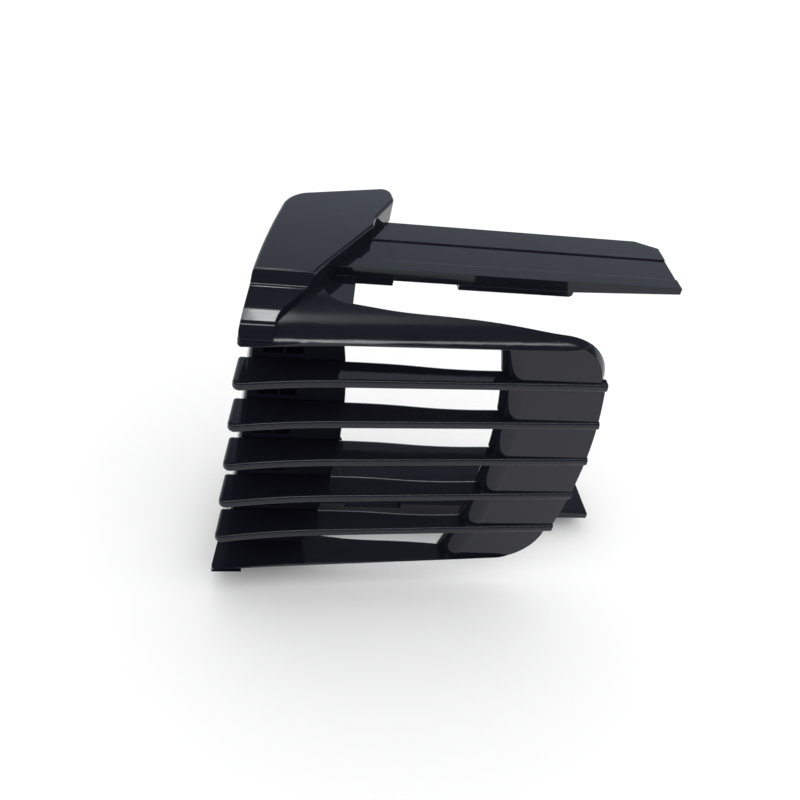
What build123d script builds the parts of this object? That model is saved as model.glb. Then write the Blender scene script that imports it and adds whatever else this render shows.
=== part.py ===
from build123d import *
import os
from math import sqrt

# Clipper guard comb: an adjustable-length attachment comb for a hair clipper.
# Comb coordinates, in mm, while modelling:
#   X runs along the teeth, from their tips (0) to the heel, and on along the slide arms.
#   Y runs from the hair side of the teeth (0) towards the clipper.
#   Z runs across the width, with 0 in the middle plane, about which the comb is symmetrical.
# export_nodes() moves every node so that the origin is under the middle of the whole box.

# Teeth
TOOTH_PITCH = 7.0          # spacing of the teeth across the width
INNER_TEETH = 5            # thin teeth between the two side teeth
TOOTH_THICK = 1.3
TOOTH_ROUND = 0.45         # edge rounding of a thin tooth
TIP_ROUND = 0.9            # rounding of a tip's hair-side corner
TIP_FRONT = (-0.25, -1.35) # hair-side corner of a tip, before rounding
BACK_Y = 4.5               # clipper-side edge of the teeth, where the bridge crosses them

# Side shells: side tooth and side plate
SIDE_INNER_Z = 20.35       # inner face of a side tooth
SIDE_OUTER_Z = 22.4        # outer side of the heel, before crowning
CROWN_TOP_Z = 22.92        # a side tooth's outer face is an elliptical arc that starts here...
CROWN_DEPTH = 10.0         # ...and curves inwards over this depth...
CROWN_RISE = 3.4           # ...by this much at the hair side
PLATE_INNER_Z = 20.9       # faces of a side plate
PLATE_OUTER_Z = 22.05
PLATE_END = (2.09, 9.25)   # where the leading edge passes from side tooth to side plate
WEB_END = (10.95, 9.25)    # ends of the hollow curve between side tooth and side plate
WEB_MIDDLE = (12.0, 6.8)
SLOT_CORNER = (14.6, 5.85)
SLOT_END_X = 15.95         # the slot's end against the arm

# Heel: the plate that joins the teeth at their rear
HEEL_X = 51.75             # rear end of the middle tooth
HEEL_FLANK_X = 50.4        # rear end where the corner rounding starts
HEEL_CORNER_R = 8.5
HEEL_FLANK_Z = SIDE_OUTER_Z - HEEL_CORNER_R
HEEL_CORNER_X = HEEL_FLANK_X - HEEL_CORNER_R
CROWN_SLOPE = 3.3          # degrees; the crowning follows the front of the side tooth
CROWN_LAG = 1.2            # it turns the corner this far behind the outline, and so fades out
PANEL_STEP = 0.12          # teeth stand this much behind the panels' rear edges
HEEL_AXIS_X = -29.5        # centre of the heel plate's crowned curve, an axis along Y

# Front bridge: the bar that ties the teeth behind their tips
BRIDGE_X = 2.3
BRIDGE_CROWN_X = 16.0      # rear edge in the middle plane
BRIDGE_END_X = 13.4        # rear edge at the side plates
BRIDGE_THICK = 2.5
POCKETS_X = ((4.0, 6.45), (6.9, 9.0))
POCKET_DEPTH = 1.4
POCKET_WIDTH = 4.6

# Slide arms
ARM_FRONT_Y = 12.8
ARM_BACK_Y = 24.3
ARM_ROOT_X = 21.0          # flex line, where the sprung part of the arm starts
ARM_TIP_X = 62.0
ARM_OUTER_Z = 23.42
ARM_THICK = 1.72
ARM_TIP_THICK = 0.9
CHANNEL_Y = (15.0, 19.9)   # shallow channel along the outer face
CHANNEL_DEPTH = 0.2
ROOT_GAP = 0.02            # clearance at the flex line
RAIL_START_X = 30.0
RAIL_END_X = 46.3
RAIL_WIDTH = 1.7
RAIL_INNER_Z = 20.9
RACK_START_X = 46.5
RACK_PITCH = 1.9
RACK_TEETH = 6
RACK_Y = (16.2, 20.2)
RACK_BASE = 0.3
RACK_HEIGHT = 0.8

# Side covers with the thumb tabs
COVER_OUTER_Z = 25.45
COVER_ROUND = 0.4
COVER_FOOT_Z = 21.2        # the hair-side end reaches down round the side tooth
COVER_FOOT_SHARE = 0.06    # where that end starts, as a share of the way from the tooth tip to the plate


def slab(face, z_low, z_high):
    """Solid with an X-Y outline, from z_low to z_high."""
    return extrude(Pos(0, 0, z_low) * face, z_high - z_low)


def crosswise(face, y_low, y_high):
    """Solid with an X-Z outline, from y_low to y_high."""
    return extrude(Pos(0, y_high, 0) * (Plane.XZ * face), y_high - y_low)


def box(x, y, z):
    """Block between pairs of coordinates."""
    size = (x[1] - x[0], y[1] - y[0], z[1] - z[0])
    middle = (sum(x) / 2, sum(y) / 2, sum(z) / 2)
    return Pos(*middle) * Box(*size)


def near(shape_list, point):
    """The vertex or edge whose centre is nearest to a point."""
    return min(shape_list, key=lambda item: (Vector(*point) - item.center()).length)


def hair_side():
    """Bowed front of a tooth, its straight run to the heel, and its rear end, as far as the under edge."""
    bow_end = (15, 0.25)
    heel_front = (HEEL_X + 2, 1.75)
    bow = TangentArc(bow_end, TIP_FRONT, tangent=(bow_end[0] - heel_front[0], bow_end[1] - heel_front[1]))
    return [bow, Line(bow_end, heel_front), Line(heel_front, (HEEL_X + 2, 3.35))]


def tooth_profile():
    """Side view of a thin tooth: bowed hair-side edge, slanted tip, and heel."""
    tip_back = (0.95, BACK_Y)
    under = Spline((HEEL_X + 2, 3.35), (42, 3.45), (38.3, 4.05), (34, 4.0), (27, 4.05), (17, BACK_Y),
                   tangents=((-1, 0), (-1, 0)))
    rest = Polyline((17, BACK_Y), tip_back, TIP_FRONT)
    face = make_face(hair_side() + [under, rest])
    face = fillet(near(face.vertices(), (*TIP_FRONT, 0)), TIP_ROUND)
    return fillet(near(face.vertices(), (*tip_back, 0)), TIP_ROUND / 2)


def web_curve():
    """Hollow curve where the side plate steps back from the side tooth."""
    return ThreePointArc(SLOT_CORNER, WEB_MIDDLE, WEB_END)


def side_tooth_profile():
    """Side view of a side tooth, which widens towards the cover."""
    under = Spline((HEEL_X + 2, 3.35), (42, 3.25), (36.3, 3.95), (27, 4.7), (20.5, 5.0), SLOT_CORNER,
                   tangents=((-1, 0), (-1, 0.15)))
    rest = Polyline(WEB_END, PLATE_END, TIP_FRONT)
    face = make_face(hair_side() + [under, web_curve(), rest])
    return fillet(near(face.vertices(), (*TIP_FRONT, 0)), TIP_ROUND)


def heel_outline(inset):
    """Plan view that trims the heel: crowned rear edge with rounded corners."""
    x_mid = HEEL_X - inset
    x_flank = HEEL_FLANK_X - inset
    corner_x = x_flank - HEEL_CORNER_R
    drop = HEEL_CORNER_R * sqrt(0.5)
    corner_z = SIDE_OUTER_Z
    wide_z = CROWN_TOP_Z + 1
    edges = [ThreePointArc((x_flank, -HEEL_FLANK_Z), (x_mid, 0), (x_flank, HEEL_FLANK_Z))]
    for side in (1, -1):
        edges.append(ThreePointArc((x_flank, side * HEEL_FLANK_Z),
                                   (corner_x + drop, side * (HEEL_FLANK_Z + drop)),
                                   (corner_x, side * corner_z)))
        edges.append(Polyline((corner_x, side * corner_z), (corner_x - 2, side * wide_z),
                              (-5, side * wide_z)))
    edges.append(Line((-5, wide_z), (-5, -wide_z)))
    return make_face(edges)


def thin_tooth(index):
    """One inner tooth, counted from the upper side."""
    z_mid = TOOTH_PITCH * ((INNER_TEETH + 1) / 2 - index)
    half = TOOTH_THICK / 2
    tooth = slab(tooth_profile(), z_mid - half, z_mid + half)
    on_faces = [edge for edge in tooth.edges() if abs(abs(edge.center().Z - z_mid) - half) < 0.01]
    rounded = [edge for edge in on_faces if edge.center().Y < BACK_Y - 0.05 and edge.center().X < HEEL_X]
    return fillet(rounded, TOOTH_ROUND) & crosswise(heel_outline(0), -5, 10)


def heel_panel(index):
    """Crowned plate between two teeth; its leading edge rolls away from the hair side."""
    roll = ThreePointArc((37.3, 4.0), (38.1, 2.5), (40.3, 1.8))
    plate = Polyline((40.3, 1.8), (HEEL_X, 2.05), (HEEL_X, 3.2), (41.0, 3.15))
    inner_roll = ThreePointArc((41.0, 3.15), (39.4, 3.5), (38.6, 4.3))
    lip = ThreePointArc((38.6, 4.3), (37.8, 4.75), (37.3, 4.0))
    axis = Axis((HEEL_AXIS_X, 0, 0), (0, 1, 0))
    ring = revolve(make_face([roll, plate, inner_roll, lip]).rotate(axis, 180), axis)
    gap_top = TOOTH_PITCH * ((INNER_TEETH + 1) / 2 + 1 - index) - TOOTH_THICK / 2
    gap_low = gap_top - TOOTH_PITCH + TOOTH_THICK
    gap = box((30, 60), (-5, 10), (max(gap_low, -SIDE_INNER_Z), min(gap_top, SIDE_INNER_Z)))
    return gap & crosswise(heel_outline(PANEL_STEP), -5, 10) & ring


def front_bridge():
    """Bar behind the teeth, with two rows of moulding pockets open to the hair side."""
    end = SIDE_INNER_Z
    crown = ThreePointArc((BRIDGE_END_X, -end), (BRIDGE_CROWN_X, 0), (BRIDGE_END_X, end))
    sides = Polyline((BRIDGE_END_X, end), (BRIDGE_X, end), (BRIDGE_X, -end), (BRIDGE_END_X, -end))
    bar = crosswise(make_face([crown, sides]), BACK_Y, BACK_Y + BRIDGE_THICK)
    front_edge = near(bar.edges(), (BRIDGE_X, BACK_Y, 0))
    bar = fillet(front_edge, TIP_ROUND)
    pocket_y = (BACK_Y, BACK_Y + POCKET_DEPTH)
    for row in range(INNER_TEETH + 1):
        z_mid = TOOTH_PITCH * (INNER_TEETH / 2 - row)
        pocket_z = (z_mid - POCKET_WIDTH / 2, z_mid + POCKET_WIDTH / 2)
        for pocket_x in POCKETS_X:
            bar -= box(pocket_x, pocket_y, pocket_z)
    return bar


def crown_straight():
    """What the crowning takes off a straight side tooth: outside an elliptical arc across X."""
    foot_z = CROWN_TOP_Z - CROWN_RISE
    above_z = CROWN_TOP_Z + 1
    arc = EllipticalCenterArc((CROWN_DEPTH, foot_z), CROWN_DEPTH, CROWN_RISE, 90, arc_size=90)
    outside = Polyline((0, foot_z), (-3, foot_z), (-3, above_z), (CROWN_DEPTH, above_z),
                       (CROWN_DEPTH, CROWN_TOP_Z))
    face = Plane.YZ * make_face([arc, outside])
    return extrude(Pos(-5, 0, 0) * face, HEEL_CORNER_X + CROWN_LAG + 5)


def crown_corner():
    """What the crowning takes off round the heel's corner: outside a turned core."""
    core_r = HEEL_CORNER_R + CROWN_TOP_Z - SIDE_OUTER_Z
    foot_r = core_r - CROWN_RISE
    arc = EllipticalCenterArc((foot_r, CROWN_DEPTH), CROWN_RISE, CROWN_DEPTH, 270, arc_size=90)
    core = Polyline((core_r, CROWN_DEPTH), (core_r, 12), (0, 12), (0, 0), (foot_r, 0))
    turned = revolve(make_face([arc, core]), Axis.Y)
    block = box((0, 20), (-10, 11), (0, 20))
    return Pos(HEEL_CORNER_X + CROWN_LAG, 0, HEEL_FLANK_Z) * (block - turned)


def crowned(solid):
    """A piece of the upper edge with the crowning taken off it."""
    place = Pos(*TIP_FRONT, 0) * Rot(0, 0, CROWN_SLOPE)
    return solid - place * crown_straight() - place * crown_corner()


def side_tooth():
    """Thicker tooth at the edge of the comb, crowned outside and round the heel's corner."""
    tooth = slab(side_tooth_profile(), SIDE_INNER_Z, CROWN_TOP_Z)
    return crowned(tooth & crosswise(heel_outline(0), -5, 12))


def cover_outline():
    """Plan view of a side cover: curved leading edge, thumb tab, hooked and slanted rear edge."""
    foot = tuple(TIP_FRONT[i] + (PLATE_END[i] - TIP_FRONT[i]) * COVER_FOOT_SHARE for i in (0, 1))
    edges = [
        Line(foot, PLATE_END),
        ThreePointArc(PLATE_END, (4.0, 16.0), (6.6, 23.6)),
        ThreePointArc((6.6, 23.6), (7.9, 25.9), (10.0, 27.3)),
        Polyline((10.0, 27.3), (22.3, 30.3), (22.6, 27.2), (19.2, 21.9), (18.8, 20.2), (10.6, 9.6)),
        Spline((10.6, 9.6), (8.4, 6.6), (6.9, 4.8), (5.4, 3.0), (4.3, foot[1])),
        Line((4.3, foot[1]), foot),
    ]
    face = make_face(edges)
    for corner, radius in ((foot, 0.6), ((22.3, 30.3), 1.3), ((22.6, 27.2), 1.6), ((19.2, 21.9), 1.2)):
        face = fillet(near(face.vertices(), (*corner, 0)), radius)
    return face


def scoop():
    """What the scoop takes off the hair-side end of a cover: a steep wall, a floor, and a rolled end."""
    wall_foot = (6.9, 23.9)
    floor_end = (2.8, 23.4)
    roll = (0.55, 22.75)
    low_end = (-0.7, COVER_FOOT_Z)
    wall_top = (8.3, COVER_OUTER_Z)
    above_z = COVER_OUTER_Z + 1
    outline = Polyline(wall_top, wall_foot, floor_end, roll, low_end,
                       (-2, COVER_FOOT_Z), (-2, above_z), (8.3, above_z), wall_top)
    face = make_face(outline)
    for corner, radius in ((wall_foot, 0.9), (floor_end, 5), (roll, 1.6)):
        face = fillet(near(face.vertices(), (*corner, 0)), radius)
    return extrude(Pos(-5, 0, 0) * (Plane.YZ * face), 30)


def side_cover():
    """Raised cover over the side plate, with a scoop at its hair-side end."""
    outline = cover_outline()
    foot = slab(outline, COVER_FOOT_Z, PLATE_OUTER_Z) & box((-5, 20), (-5, 5), (20, 24))
    cover = slab(outline, PLATE_OUTER_Z, COVER_OUTER_Z) + foot - scoop() - side_tooth()
    top = [edge for edge in cover.edges() if edge.center().Z > COVER_OUTER_Z - 0.01]
    return fillet(top, COVER_ROUND)


def arm_channel(x_low, x_high):
    """The shallow channel along the outer face of the arm and its root."""
    return box((x_low, x_high), CHANNEL_Y, (ARM_OUTER_Z - CHANNEL_DEPTH, ARM_OUTER_Z + 1))


def side_plate():
    """Wall between side tooth and arm, with the thick root of the arm beside the cover."""
    root_x = ARM_ROOT_X - ROOT_GAP
    outline = [
        ThreePointArc(PLATE_END, (4.0, 16.0), (6.6, 23.6)),
        ThreePointArc((6.6, 23.6), (7.9, 25.9), (10.0, 27.3)),
        Polyline((10.0, 27.3), (20.0, 29.0), (20.6, ARM_BACK_Y), (root_x, ARM_BACK_Y)),
        Polyline((root_x, ARM_BACK_Y), (root_x, ARM_FRONT_Y), (SLOT_END_X, ARM_FRONT_Y), SLOT_CORNER),
        web_curve(),
        Line(WEB_END, PLATE_END),
    ]
    plate = slab(make_face(outline), PLATE_INNER_Z, PLATE_OUTER_Z)
    root = box((8, root_x), (ARM_FRONT_Y, ARM_BACK_Y), (PLATE_OUTER_Z, ARM_OUTER_Z))
    root -= arm_channel(8, root_x)
    return plate + (root - slab(cover_outline(), PLATE_OUTER_Z - 1, COVER_OUTER_Z))


def arm_inner_z(x):
    """Inner face of the arm behind the rail's end, where the arm thins towards its tip."""
    thinned = (x - RAIL_END_X) / (ARM_TIP_X + 1 - RAIL_END_X)
    return ARM_OUTER_Z - ARM_THICK + (ARM_THICK - ARM_TIP_THICK) * thinned


def slide_arm():
    """Sprung arm that slides in the clipper's side track, with a shallow channel outside."""
    outline = Polyline((ARM_ROOT_X, ARM_FRONT_Y), (ARM_TIP_X, ARM_FRONT_Y), (ARM_TIP_X - 0.2, 22.8),
                       (58.5, ARM_BACK_Y), (ARM_ROOT_X, ARM_BACK_Y), (ARM_ROOT_X, ARM_FRONT_Y))
    arm = slab(make_face(outline), ARM_OUTER_Z - ARM_THICK, ARM_OUTER_Z)
    inner_z = ARM_OUTER_Z - ARM_THICK
    end_x = ARM_TIP_X + 1
    start = (RAIL_END_X, inner_z)
    taper = Polyline(start, (end_x, arm_inner_z(end_x)), (end_x, inner_z), start)
    arm -= crosswise(make_face(taper), ARM_FRONT_Y - 1, ARM_BACK_Y + 1)
    return arm - arm_channel(ARM_ROOT_X, ARM_TIP_X)


def guide_rail():
    """Rib under the arm's hair-side edge, which runs in the clipper's groove."""
    thick_z = ARM_OUTER_Z - ARM_THICK
    rail = box((RAIL_START_X, RAIL_END_X), (ARM_FRONT_Y, ARM_FRONT_Y + RAIL_WIDTH),
               (RAIL_INNER_Z, thick_z))
    return fillet(near(rail.edges(), (RAIL_END_X, ARM_FRONT_Y + RAIL_WIDTH / 2, RAIL_INNER_Z)), 0.6)


def length_rack():
    """Row of small detent teeth on the arm's inner face; each pitch is one length setting."""
    end_x = RACK_START_X + RACK_TEETH * RACK_PITCH
    start_z = arm_inner_z(RACK_START_X)
    points = [(RACK_START_X, start_z), (RACK_START_X, start_z - RACK_BASE)]
    for tooth in range(RACK_TEETH):
        peak_x = RACK_START_X + (tooth + 0.5) * RACK_PITCH
        root_x = RACK_START_X + (tooth + 1) * RACK_PITCH
        points.append((peak_x, arm_inner_z(peak_x) - RACK_HEIGHT))
        points.append((root_x, arm_inner_z(root_x) - RACK_BASE))
    points.append((end_x, arm_inner_z(end_x)))
    return crosswise(make_face(Polyline(*points, points[0])), *RACK_Y)


def build():
    """Every node by name, in comb coordinates."""
    nodes = {"front_bridge": front_bridge()}
    for index in range(1, INNER_TEETH + 1):
        nodes[f"tooth_{index}"] = thin_tooth(index)
    nodes["heel_panel_1"] = crowned(heel_panel(1))
    for index in range(2, INNER_TEETH + 1):
        nodes[f"heel_panel_{index}"] = heel_panel(index)
    nodes[f"heel_panel_{INNER_TEETH + 1}"] = mirror(nodes["heel_panel_1"], about=Plane.XY)
    one_side = {
        "side_tooth": side_tooth(),
        "side_plate": side_plate(),
        "side_cover": side_cover(),
        "slide_arm": slide_arm(),
        "guide_rail": guide_rail(),
        "length_rack": length_rack(),
    }
    for name, solid in one_side.items():
        nodes[f"upper_{name}"] = solid
        nodes[f"lower_{name}"] = mirror(solid, about=Plane.XY)
    return nodes


def export_nodes(nodes):
    """Write one STEP per node, with the origin under the middle of the whole box."""
    os.makedirs("parts", exist_ok=True)
    whole = Compound(children=[Compound(solid.solids()) for solid in nodes.values()]).bounding_box()
    middle = whole.center()
    shift = Pos(-middle.X, -middle.Y, -whole.min.Z)
    print("box", whole.min, whole.max)
    for name, solid in nodes.items():
        export_step(shift * solid, f"parts/{name}.step")


export_nodes(build())
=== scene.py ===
from math import cos, radians, sin

import bpy
from mathutils import Matrix, Vector


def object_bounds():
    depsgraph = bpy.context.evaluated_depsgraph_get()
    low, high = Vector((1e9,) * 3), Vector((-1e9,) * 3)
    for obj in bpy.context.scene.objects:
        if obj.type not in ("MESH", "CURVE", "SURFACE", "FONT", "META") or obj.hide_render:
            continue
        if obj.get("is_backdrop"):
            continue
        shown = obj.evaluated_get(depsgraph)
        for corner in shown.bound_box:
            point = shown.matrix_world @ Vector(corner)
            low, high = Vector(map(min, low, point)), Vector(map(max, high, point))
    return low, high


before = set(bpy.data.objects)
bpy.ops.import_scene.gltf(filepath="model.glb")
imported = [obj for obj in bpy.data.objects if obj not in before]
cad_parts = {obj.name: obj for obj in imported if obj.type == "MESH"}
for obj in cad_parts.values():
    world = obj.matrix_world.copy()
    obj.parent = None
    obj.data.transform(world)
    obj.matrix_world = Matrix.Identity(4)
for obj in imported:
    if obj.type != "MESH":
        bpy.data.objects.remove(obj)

LOW, HIGH = (Vector(corner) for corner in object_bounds())
CENTRE = (LOW + HIGH) / 2

# Camera
CAMERA_AZIMUTH = -17.6       # degrees; 0 looks along +Y
CAMERA_ELEVATION = 39.7
CAMERA_ROLL = 13.7
CAMERA_DISTANCE = 0.162
CAMERA_AIM = CENTRE + Vector((-0.0051, -0.0011, 0.0005))
CAMERA_CLIP = 0.005
LENS = 50.2

# Studio
FLOOR_SIZE = 6
FLOOR_COLOUR = (0.95, 0.95, 0.95, 1)
FLOOR_ROUGHNESS = 0.9
SKY = 1.15                   # strength of the even white light
WHITE = (1, 1, 1, 1)
ROOM_TINT = (0.86, 0.97, 1.12, 1)
LAMP_COLOUR = (0.95, 1, 0.98, 1)
RISE_RANGE = (0, 180)        # degrees, from the back horizon (+Y) over the zenith to the front one
SIDE_RANGE = (-1, 1)         # X of a direction
# Brightness, by the rise, of the room that only glossy rays see. It and the lamps are set for this camera.
ROOM = ((0, 1.05), (29, 1.05), (34, 0.64), (41, 0.64), (46, 0.08), (57, 0.3), (69, 0.3), (76, 0.14),
        (112, 0.14), (146, 0.06), (152, 0.7), (180, 1.0))
# Lamps that only glossy rays see: brightness by the rise, brightness by the direction's X, and strength
LAMPS = (
    (((0, 0), (61, 0), (63.5, 1), (71, 1), (73, 0), (180, 0)),
     ((-1, 0), (-0.2, 0), (0.094, 0.02), (0.104, 1), (0.124, 1), (0.131, 0.05), (0.22, 0.04), (0.32, 0.01),
      (1, 0)), 25),
    (((0, 0), (106, 0), (107.5, 1), (112.5, 1), (114, 0), (180, 0)),
     ((-1, 0.1), (-0.2, 0.6), (0.0, 0.9), (0.2, 1), (0.3, 0.7), (0.45, 0.6), (0.7, 0), (1, 0)), 12),
)

# Plastic
PLASTIC_DARK = (0.006, 0.0062, 0.0105, 1)
PLASTIC_LIGHT = (0.0082, 0.0082, 0.014, 1)
PLASTIC_IOR = 1.39
EDGE_RADIUS = 0.0001
FLOW_SCALE = (120, 260, 260)
RIPPLE_SCALE = (500, 700, 700)
RIPPLE_HEIGHT = 0.000003
SCRATCH_SCALE = (90, 6000, 6000)
FLOW_DETAIL, RIPPLE_DETAIL, SCRATCH_DETAIL = 3, 1, 2
SCRATCH_NOISE = (0.56, 0.7)  # noise where a scratch starts and where it is full
SMUDGE_NOISE = (0.35, 0.7)   # noise where it is clean and where it is most smudged
SMUDGE_GAIN = 1.7            # roughness of a smudge, as a multiple of the clean one
EDGE_SAMPLES = 4
# Roughness where it is clean, and how much a scratch adds
FINISHES = {
    "teeth": (0.045, 0.05),
    "side_teeth": (0.09, 0.05),
    "covers": (0.07, 0.08),
    "arms": (0.06, 0.16),
}


def aim(obj, direction, roll=0):
    """Turn an object so that it looks along a direction."""
    turn = direction.to_track_quat("-Z", "Y").to_matrix().to_4x4()
    place = Matrix.Translation(obj.location)
    obj.matrix_world = place @ turn @ Matrix.Rotation(radians(roll), 4, "Z")


def add_camera():
    azimuth, elevation = radians(CAMERA_AZIMUTH), radians(CAMERA_ELEVATION)
    forward = Vector((-sin(azimuth) * cos(elevation), cos(azimuth) * cos(elevation), -sin(elevation)))
    camera = bpy.data.objects.new("camera", bpy.data.cameras.new("camera"))
    camera.data.lens = LENS
    camera.data.clip_start = CAMERA_CLIP
    camera.location = CAMERA_AIM - forward * CAMERA_DISTANCE
    aim(camera, forward, CAMERA_ROLL)
    bpy.context.scene.collection.objects.link(camera)
    bpy.context.scene.camera = camera


class Graph:
    """Short way to add shader nodes to one node tree."""

    def __init__(self, tree):
        self.tree = tree

    def add(self, kind, inputs=None, **settings):
        node = self.tree.nodes.new(kind)
        for name, value in settings.items():
            setattr(node, name, value)
        for name, value in (inputs or {}).items():
            if hasattr(value, "is_output"):
                self.tree.links.new(value, node.inputs[name])
            else:
                node.inputs[name].default_value = value
        return node

    def math(self, operation, *values):
        return self.add("ShaderNodeMath", dict(enumerate(values)), operation=operation).outputs[0]

    def noise(self, place, scale, detail):
        stretched = self.add("ShaderNodeMapping", {"Vector": place, "Scale": scale}).outputs[0]
        texture = self.add("ShaderNodeTexNoise", {"Vector": stretched, "Scale": 1.0, "Detail": detail})
        return texture.outputs["Fac"]

    def spread(self, value, source, target=(0, 1)):
        """Map one range of a value to another, and hold it at the ends."""
        node = self.add("ShaderNodeMapRange", {"Value": value, "From Min": source[0], "From Max": source[1],
                                               "To Min": target[0], "To Max": target[1]})
        return node.outputs[0]

    def ramp(self, value, stops, limits):
        """Value to brightness, with stops given on the value's own scale."""
        low, high = limits
        where = self.spread(value, limits)
        node = self.add("ShaderNodeValToRGB", {"Fac": where})
        elements = node.color_ramp.elements
        while len(elements) < len(stops):
            elements.new(0.5)
        for element, (position, level) in zip(elements, stops):
            element.position = (position - low) / (high - low)
            element.color = (level, level, level, 1)
        return node.outputs["Color"]


def floor_material():
    """Plain white paper."""
    material = bpy.data.materials.new("floor_paper")
    material.use_nodes = True
    shader = material.node_tree.nodes["Principled BSDF"]
    shader.inputs["Base Color"].default_value = FLOOR_COLOUR
    shader.inputs["Roughness"].default_value = FLOOR_ROUGHNESS
    shader.inputs["Specular IOR Level"].default_value = 0
    return material


def add_floor():
    mesh = bpy.data.meshes.new("floor")
    half = FLOOR_SIZE / 2
    corners = [(-half, -half, 0), (half, -half, 0), (half, half, 0), (-half, half, 0)]
    mesh.from_pydata(corners, [], [(0, 1, 2, 3)])
    floor = bpy.data.objects.new("floor", mesh)
    floor.location.z = LOW.z
    mesh.materials.append(floor_material())
    bpy.context.scene.collection.objects.link(floor)
    floor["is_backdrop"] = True


def add_world():
    """Even white light, except that glossy rays see a room, dark overhead, with two strip lamps."""
    world = bpy.data.worlds.new("studio")
    world.use_nodes = True
    graph = Graph(world.node_tree)
    towards = graph.add("ShaderNodeTexCoord").outputs["Generated"]
    x, y, z = graph.add("ShaderNodeSeparateXYZ", {0: towards}).outputs
    rise = graph.math("DEGREES", graph.math("ARCTAN2", z, y))
    room = graph.ramp(rise, ROOM, RISE_RANGE)
    tinted = graph.add("ShaderNodeMix", {"Factor": 1.0, "A": room, "B": ROOM_TINT},
                       data_type="RGBA", blend_type="MULTIPLY").outputs["Result"]
    reflected = graph.add("ShaderNodeBackground", {"Color": tinted}).outputs[0]
    for by_rise, by_side, strength in LAMPS:
        up, along = graph.ramp(rise, by_rise, RISE_RANGE), graph.ramp(x, by_side, SIDE_RANGE)
        strength = graph.math("MULTIPLY", graph.math("MULTIPLY", up, along), strength)
        light = graph.add("ShaderNodeBackground", {"Color": LAMP_COLOUR, "Strength": strength})
        reflected = graph.add("ShaderNodeAddShader", {0: reflected, 1: light.outputs[0]}).outputs[0]
    plain = graph.add("ShaderNodeBackground", {"Color": WHITE, "Strength": SKY})
    glossy = graph.add("ShaderNodeLightPath").outputs["Is Glossy Ray"]
    mixed = graph.add("ShaderNodeMixShader", {0: glossy, 1: plain.outputs[0], 2: reflected})
    graph.tree.links.new(mixed.outputs[0], graph.tree.nodes["World Output"].inputs["Surface"])
    bpy.context.scene.world = world


def plastic(name, roughness, wear):
    """Moulded black plastic: faint flow marks and ripple, soft edges, and fine scratches along X."""
    material = bpy.data.materials.new(name)
    material.use_nodes = True
    graph = Graph(material.node_tree)
    shader = graph.tree.nodes["Principled BSDF"]
    shader.inputs["IOR"].default_value = PLASTIC_IOR
    place = graph.add("ShaderNodeTexCoord").outputs["Object"]
    flow = graph.noise(place, FLOW_SCALE, FLOW_DETAIL)
    ripple = graph.noise(place, RIPPLE_SCALE, RIPPLE_DETAIL)
    scratches = graph.noise(place, SCRATCH_SCALE, SCRATCH_DETAIL)
    tint = graph.add("ShaderNodeMix", {"Factor": flow, "A": PLASTIC_DARK, "B": PLASTIC_LIGHT},
                     data_type="RGBA")
    scratched = graph.spread(scratches, SCRATCH_NOISE, (0, wear))
    smudged = graph.spread(flow, SMUDGE_NOISE, (roughness, roughness * SMUDGE_GAIN))
    edge = graph.add("ShaderNodeBevel", {"Radius": EDGE_RADIUS}, samples=EDGE_SAMPLES).outputs[0]
    bump = graph.add("ShaderNodeBump", {"Height": ripple, "Distance": RIPPLE_HEIGHT, "Normal": edge})
    links = graph.tree.links
    links.new(tint.outputs["Result"], shader.inputs["Base Color"])
    links.new(graph.math("ADD", smudged, scratched), shader.inputs["Roughness"])
    links.new(bump.outputs[0], shader.inputs["Normal"])
    return material


def finish_of(name):
    """Which of the finishes a CAD node has."""
    if "arm" in name or "rail" in name or "rack" in name:
        return "arms"
    if "side_tooth" in name:
        return "side_teeth"
    return "covers" if "cover" in name else "teeth"


bpy.context.scene.view_settings.view_transform = "Standard"
add_camera()
add_floor()
add_world()
finishes = {part: plastic("black_plastic_" + part, *values) for part, values in FINISHES.items()}
for name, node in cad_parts.items():
    node.data.materials.clear()
    node.data.materials.append(finishes[finish_of(name)])
